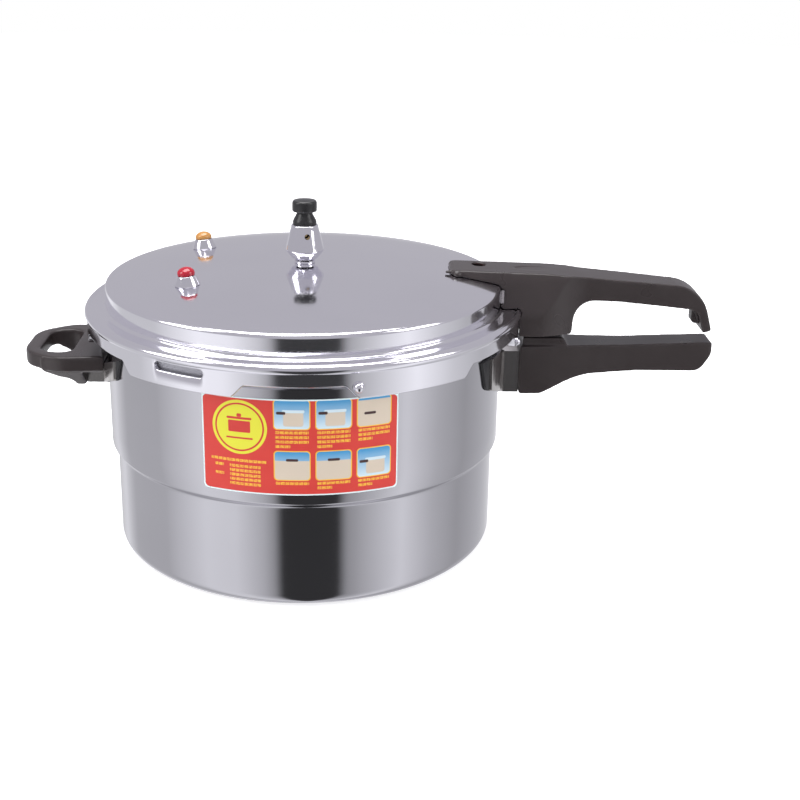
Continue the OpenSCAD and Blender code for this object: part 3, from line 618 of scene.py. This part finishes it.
def soften(name, source, passes):
    """A copy of a CAD node, remeshed and smoothed until its edges are rounded like a moulding."""
    mesh = nodes[source].data.copy()
    piece = bpy.data.objects.new(name, mesh)
    bpy.context.scene.collection.objects.link(piece)
    mesh.materials.clear()
    mesh.materials.append(bakelite)
    add_weld(piece)
    remesh = piece.modifiers.new("remesh", "REMESH")
    remesh.mode = "VOXEL"
    remesh.voxel_size = GRIP_VOXEL * MM
    remesh.use_smooth_shade = True
    smooth = piece.modifiers.new("smooth", "SMOOTH")
    smooth.factor = 0.5
    smooth.iterations = passes
    apply_modifiers(piece)
    piece.data.shade_smooth()
    return piece


for name, source, body, passes in (
    ("upper_grip", "upper_handle", "lid", 8),
    ("lower_grip", "lower_handle", "pot", 6),
    ("helper_loop", "helper_handle", "pot", 30),
):
    finish_piece(soften(name, source, passes), body, source)


# ---- Label ----

LABEL_R = 142.8
LABEL_T = 0.25
LABEL_SPAN = 53.0
LABEL_DEG = -89.0
LABEL_CORNER = 3.0


def label_material():
    """A generic printed label: red field, pale edge, yellow disc and six picture tiles."""
    s = Shader("label_print", Roughness=0.3)
    s.bsdf.inputs["Specular IOR Level"].default_value = 0.4
    _, x, y, z = s.object_xyz()
    degrees = s.math("MULTIPLY", s.math("ARCTAN2", y, x), 180 / math.pi)
    # Place on the flat label in mm, from its lower left corner
    from_left = s.math("SUBTRACT", degrees, LABEL_DEG - LABEL_SPAN / 2)
    u = s.math("MULTIPLY", from_left, math.radians(LABEL_R))
    v = s.math("MULTIPLY", s.math("SUBTRACT", z, label_low.z * MM), 1 / MM)
    width = math.radians(LABEL_SPAN) * LABEL_R
    height = label_high.z - label_low.z
    soft = 0.12

    def inside(value, edge):
        """1 where value is below edge."""
        return s.span(value, edge - soft, edge + soft, 1.0, 0.0)

    def past(value, centre, half):
        """How far value lies more than half away from a centre, or 0."""
        off = s.math("ABSOLUTE", s.math("SUBTRACT", value, centre))
        return s.math("MAXIMUM", s.math("SUBTRACT", off, half), 0.0)

    def box(cu, cv, hu, hv, corner=0.8):
        """1 inside a box with rounded corners, from its centre and half sizes."""
        return inside(s.length(past(u, cu, hu - corner), past(v, cv, hv - corner)), corner)

    def far_from(cu, cv):
        return s.length(s.math("SUBTRACT", u, cu), s.math("SUBTRACT", v, cv))

    red, yellow = (0.56, 0.036, 0.028, 1.0), (0.68, 0.66, 0.035, 1.0)
    gold, sky, haze = (0.80, 0.46, 0.04, 1.0), (0.03, 0.26, 0.52, 1.0), (0.55, 0.68, 0.74, 1.0)
    sand, dark = (0.58, 0.50, 0.40, 1.0), (0.06, 0.03, 0.03, 1.0)
    place = s.node("ShaderNodeTexCoord").outputs["Object"]
    ink = s.noise(place, 90.0, 3.0)
    colour = s.mix(ink, red, (0.62, 0.045, 0.032, 1.0))
    # Marks that break a line up into blocks, like small print seen from afar
    block = s.span(s.math("SINE", s.math("MULTIPLY", u, 2.1)), -0.95, -0.75, 0.25, 1.0)
    block = s.math("MULTIPLY", block, s.span(s.noise(place, 1100.0, 1.0), 0.40, 0.56, 0.45, 1.0))

    def paint(colour, mask, over):
        return s.mix(mask, colour, over)

    def print_line(colour, cu, cv, half):
        return paint(colour, s.math("MULTIPLY", box(cu, cv, half, 0.95, 0.3), block), gold)

    # Disc with a ring and a plain pot sign, at the left
    disc_u, disc_v, disc_r = 26.3, 45.8, 18.6
    from_disc = far_from(disc_u, disc_v)
    colour = paint(colour, inside(from_disc, disc_r), yellow)
    colour = paint(colour, inside(from_disc, disc_r - 1.9), red)
    colour = paint(colour, inside(from_disc, disc_r - 3.1), yellow)
    sign = s.math("MAXIMUM", box(disc_u, disc_v + 0.5, 7.5, 4.0), box(disc_u, disc_v + 6.2, 8.5, 0.8))
    sign = s.math("MAXIMUM", sign, box(disc_u, disc_v + 8.2, 1.6, 1.2))
    sign = s.math("MAXIMUM", sign, box(disc_u, disc_v - 7.5, 9.0, 0.6, 0.3))
    colour = paint(colour, sign, red)

    # Six picture tiles in two rows, with printed lines under each
    tile_w, tile_h = 22.6, 19.5
    line_counts = ((4, 4, 3), (1, 2, 2))
    for row in range(2):
        for col in range(3):
            cu, cv = 60.9 + 27.1 * col, 56.2 - 35.4 * row
            half_w, half_h = tile_w / 2, tile_h / 2
            colour = paint(colour, box(cu, cv, half_w + 0.7, half_h + 0.7, 2.6), gold)
            fade = s.span(v, cv - half_h, cv + half_h, 0.0, 1.0)
            picture = s.mix(fade, haze, sky)
            if (row, col) in ((1, 0), (1, 1), (0, 2)):
                level = cv + (3.5 if row else 8.0)
                picture = paint(picture, inside(v, level), sand)
                picture = paint(picture, box(cu - 3.0 * (1 - row), cv + 5.0 * row - 1.0, 4.0, 0.9), dark)
            else:
                picture = paint(picture, box(cu + 1.0, cv - 3.0, 6.5, 5.0, 1.5), sand)
                picture = paint(picture, box(cu + 1.0, cv + 2.2, 7.2, 1.0), haze)
                picture = paint(picture, box(cu - 7.0, cv + 1.0, 3.0, 1.0), dark)
            colour = paint(colour, box(cu, cv, half_w, half_h, 2.2), picture)
            for k in range(line_counts[row][col]):
                short = 6.0 if k and k == line_counts[row][col] - 1 else 0.0
                line_v = cv - half_h - 2.6 - 3.2 * k
                colour = print_line(colour, cu - short, line_v, half_w - 0.4 - short)
    colour = print_line(colour, 25.2, 22.6, 19.0)
    for k in range(5):
        colour = print_line(colour, 29.7, 18.6 - 3.1 * k, 10.5)
    for k in (0, 2):
        colour = print_line(colour, 12.0, 18.6 - 3.1 * k, 3.0)

    # Pale blue edge
    mid_u, mid_v, rim = width / 2, height / 2, 0.9
    field = box(mid_u, mid_v, mid_u - rim, mid_v - rim, LABEL_CORNER)
    colour = paint(colour, s.math("SUBTRACT", 1.0, field), (0.66, 0.80, 0.80, 1.0))
    s.set("Base Color", colour)
    s.bump(s.noise(place, 700.0, 2.0), 0.03, 0.0002)
    return s.material


def label_profile(deg):
    """Section of the label, shorter at its two ends, where its corners are round."""
    half = LABEL_SPAN / 2
    from_end = (half - abs(turn(deg, LABEL_DEG))) * math.radians(LABEL_R)
    lift = 0.0
    if from_end < LABEL_CORNER:
        lift = LABEL_CORNER - math.sqrt(max(0.0, LABEL_CORNER**2 - (LABEL_CORNER - from_end) ** 2))
    low, high = label_low.z + lift, label_high.z - 0.3 * lift
    outer = [(LABEL_R, low + (high - low) * i / 10) for i in range(11)]
    return outer + [(LABEL_R - LABEL_T, high), (LABEL_R - LABEL_T, low)]


corner_deg = math.degrees(LABEL_CORNER / LABEL_R)
ends = [corner_deg * (1 - math.cos(math.radians(a))) for a in range(0, 91, 15)]
start = LABEL_DEG - LABEL_SPAN / 2
count, between = 72, LABEL_SPAN - 2 * corner_deg
label_columns = (
    [start + e for e in ends]
    + [start + corner_deg + between * i / count for i in range(1, count)]
    + [start + LABEL_SPAN - e for e in reversed(ends)]
)
label_bm = lathe(label_columns, label_profile, closed=False)
label = new_object("label_sheet", label_bm, label_material())
finish_piece(label, "pot", "label")


# ---- Finishes of the CAD nodes that stay ----

FINISH = {
    "polished_aluminium": polished,
    "lid_aluminium": lid_metal,
    "rack_aluminium": rack_metal,
    "aluminium_rivet": rivet_metal,
    "bracket_steel": bracket_metal,
    "screw_steel": screw_metal,
    "spring_steel": spring_metal,
    "chrome_plate": chrome,
    "brass_metal": brass,
    "black_bakelite": bakelite,
    "knob_plastic": knob_plastic,
    "black_rubber": black_rubber,
    "white_rubber": white_rubber,
    "float_red": float_red,
    "plug_red": plug_red,
    "plug_orange": plug_orange,
}
for part in frame["record"]["subparts"]:
    node = nodes[part["node"]]
    if node.hide_render:
        continue
    node.data.materials.clear()
    node.data.materials.append(FINISH[part["material_slot"]])
    add_weld(node)
    bevel = node.modifiers.new("bevel", "BEVEL")
    bevel.width = 0.25 * MM
    bevel.segments = 2
    bevel.limit_method = "ANGLE"
    bevel.angle_limit = math.radians(40)
    bevel.harden_normals = True


# ---- Studio ----


FLOOR_R, FLOOR_GLOW, FLOOR_DROP = 4000, 0.62, 0.0002


def studio_floor():
    """A plain pale floor just under the base, which the metal doesn't mirror."""
    bm = bmesh.new()
    bmesh.ops.create_circle(bm, cap_ends=True, segments=96, radius=FLOOR_R)
    white = moulded("floor_white", (0.9, 0.9, 0.9), 0.9, 0.0, 0.01, 0.1)
    glow = white.node_tree.nodes["Principled BSDF"].inputs
    glow["Emission Color"].default_value = (1.0, 1.0, 1.0, 1.0)
    glow["Emission Strength"].default_value = FLOOR_GLOW
    floor = new_object("floor", bm, white)
    floor.location.z = -FLOOR_DROP
    floor.visible_glossy = False


def studio_world():
    """Soft white walls round the object, with a dark gap in front where the camera stands."""
    world = bpy.data.worlds.new("studio")
    bpy.context.scene.world = world
    world.use_nodes = True
    tree = world.node_tree
    add, link = tree.nodes.new, tree.links.new
    tree.nodes.clear()
    out, background = add("ShaderNodeOutputWorld"), add("ShaderNodeBackground")
    link(background.outputs[0], out.inputs[0])
    coord, split = add("ShaderNodeTexCoord"), add("ShaderNodeSeparateXYZ")
    link(coord.outputs["Generated"], split.inputs[0])
    angle = add("ShaderNodeMath")
    angle.operation = "ARCTAN2"
    link(split.outputs[1], angle.inputs[0])
    link(split.outputs[0], angle.inputs[1])
    around = add("ShaderNodeMapRange")
    around.inputs[1].default_value, around.inputs[2].default_value = -math.pi, math.pi
    link(angle.outputs[0], around.inputs[0])
    ring = add("ShaderNodeValToRGB")
    link(around.outputs[0], ring.inputs[0])
    # Direction in degrees and brightness of the studio's walls
    walls = [
        (-180, 0.60), (-150, 0.96), (-130, 0.92), (-113, 0.62), (-107, 0.42), (-102, 0.045),
        (-69, 0.045), (-63, 0.42), (-50, 0.62), (-28, 0.94), (-5, 0.62), (18, 0.46),
        (50, 0.62), (80, 0.80), (110, 0.64), (127, 0.90), (145, 0.58), (180, 0.58),
    ]
    ramp = ring.color_ramp
    for i, (deg, light) in enumerate(walls):
        spot = (deg + 180) / 360
        element = ramp.elements[i] if i < 2 else ramp.elements.new(spot)
        element.position = spot
        element.color = (light, light, light * 1.04, 1.0)
    # Above this slope the walls give way to an even grey ceiling
    rise = add("ShaderNodeMapRange")
    rise.inputs[1].default_value, rise.inputs[2].default_value = -0.22, -0.02
    link(split.outputs[2], rise.inputs[0])
    blend = add("ShaderNodeMix")
    blend.data_type = "RGBA"
    link(rise.outputs[0], blend.inputs[0])
    link(ring.outputs[0], blend.inputs[6])
    blend.inputs[7].default_value = (0.47, 0.46, 0.50, 1.0)
    # The camera itself sees plain white
    seen = add("ShaderNodeLightPath")
    white = add("ShaderNodeMix")
    white.data_type = "RGBA"
    link(seen.outputs["Is Camera Ray"], white.inputs[0])
    link(blend.outputs[2], white.inputs[6])
    white.inputs[7].default_value = (1.0, 1.0, 1.0, 1.0)
    link(white.outputs[2], background.inputs[0])


def softbox(name, place, target, width, depth, watts):
    light = bpy.data.lights.new(name, "AREA")
    light.shape = "RECTANGLE"
    light.size, light.size_y = width, depth
    light.energy = watts
    lamp = bpy.data.objects.new(name, light)
    lamp.location = place
    lamp.rotation_euler = (Vector(target) - Vector(place)).to_track_quat("-Z", "Y").to_euler()
    bpy.context.scene.collection.objects.link(lamp)


def studio_camera():
    """A long lens, from slightly above, a touch to the right of the pot's middle."""
    data = bpy.data.cameras.new("camera")
    data.lens = 62.235
    data.sensor_width = 36
    data.clip_end = 20
    camera = bpy.data.objects.new("camera", data)
    bpy.context.scene.collection.objects.link(camera)
    turned, down, roll = math.radians(-1.5), math.radians(20.04), math.radians(1.01)
    camera.matrix_world = (
        Matrix.Translation((0.0448, -0.9711, 0.4543))
        @ Matrix.Rotation(turned, 4, "Z")
        @ Matrix.Rotation(math.pi / 2 - down, 4, "X")
        @ Matrix.Rotation(roll, 4, "Z")
    )
    bpy.context.scene.camera = camera


studio_floor()
studio_world()
softbox("softbox_top", (-0.1, 0.1, 1.7), (0, 0, 0.1), 1.5, 1.1, 30)
softbox("softbox_left", (-1.4, -0.5, 1.1), (0, 0, 0.12), 0.8, 1.0, 9)
softbox("softbox_right", (1.5, -0.6, 1.0), (0, 0, 0.12), 0.8, 1.0, 7)
studio_camera()
bpy.context.scene.view_settings.view_transform = "Standard"
